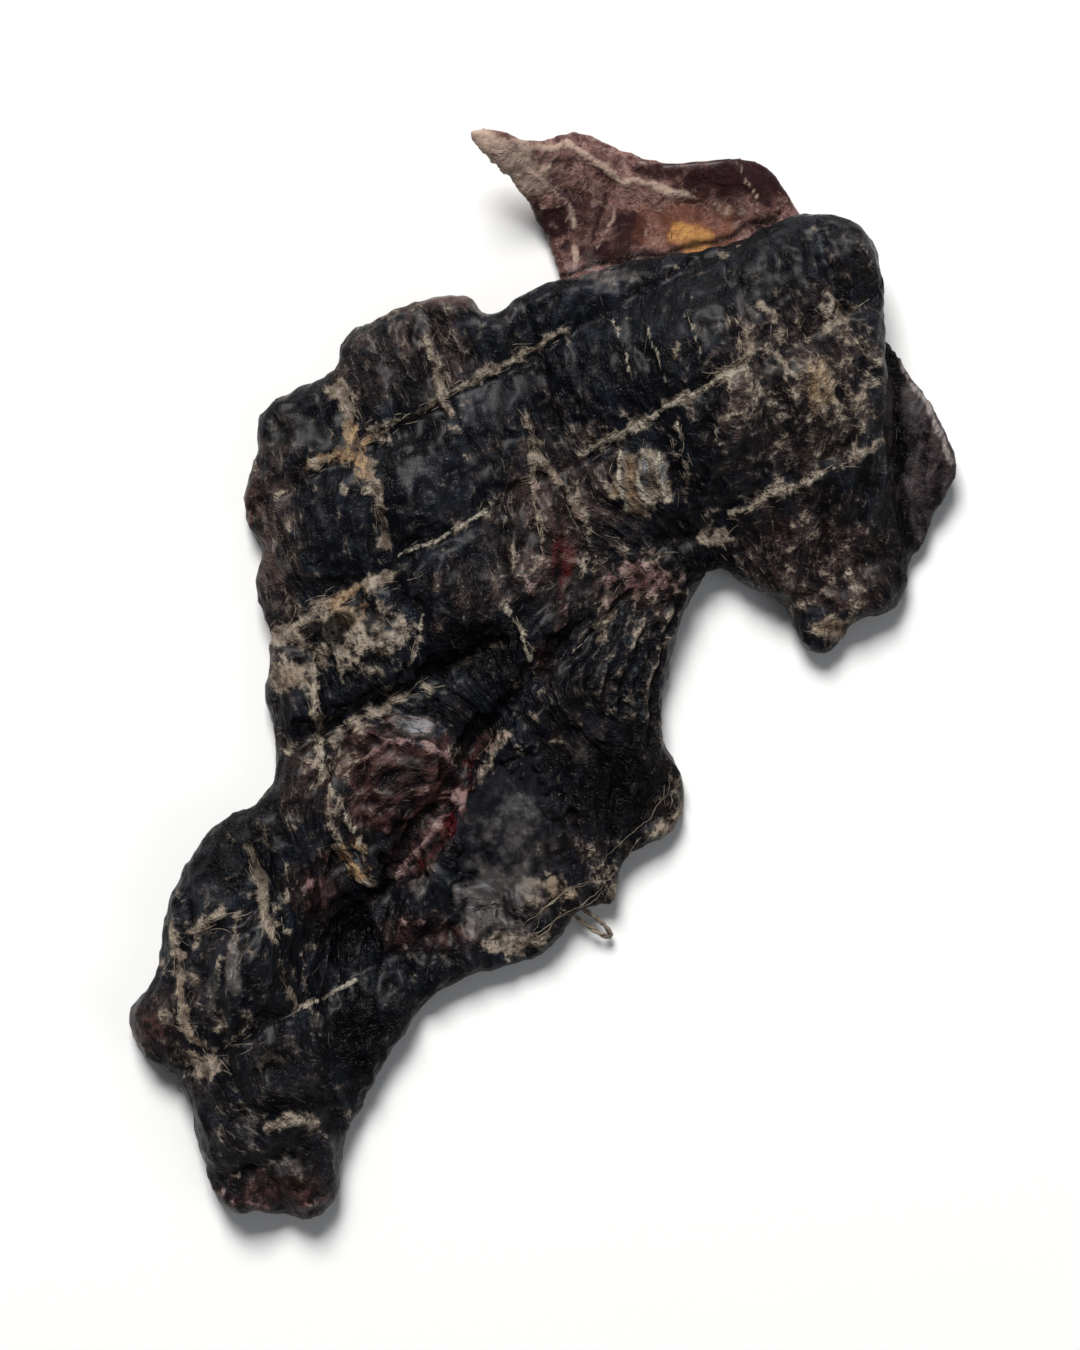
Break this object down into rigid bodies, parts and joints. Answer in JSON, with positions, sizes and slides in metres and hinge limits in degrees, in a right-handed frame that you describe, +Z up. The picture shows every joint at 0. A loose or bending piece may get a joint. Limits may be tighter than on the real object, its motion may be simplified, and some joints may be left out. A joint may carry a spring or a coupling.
{
  "type": "kangaroo jerky",
  "caption": "Irregular slice of dark dried kangaroo meat with a net pattern on its upper side, a strap, a tail and a thin layer split away under the strap.",
  "frame": {"origin": "on the surface that the slice rests on, under the middle of its outline", "axes": "+Z up, +Y along the slice's length towards its thin flap, +X to the right over the slice towards its strap"},
  "size_m": [0.0848, 0.112, 0.0137],
  "materials": {
    "dried_meat": "uneven, dry and leathery, satin in places, with tan fibres and a translucent amber-red thin layer"
  },
  "bodies": {
    "root": {"jerky_slice": "dried_meat"}
  },
  "joints": []
}
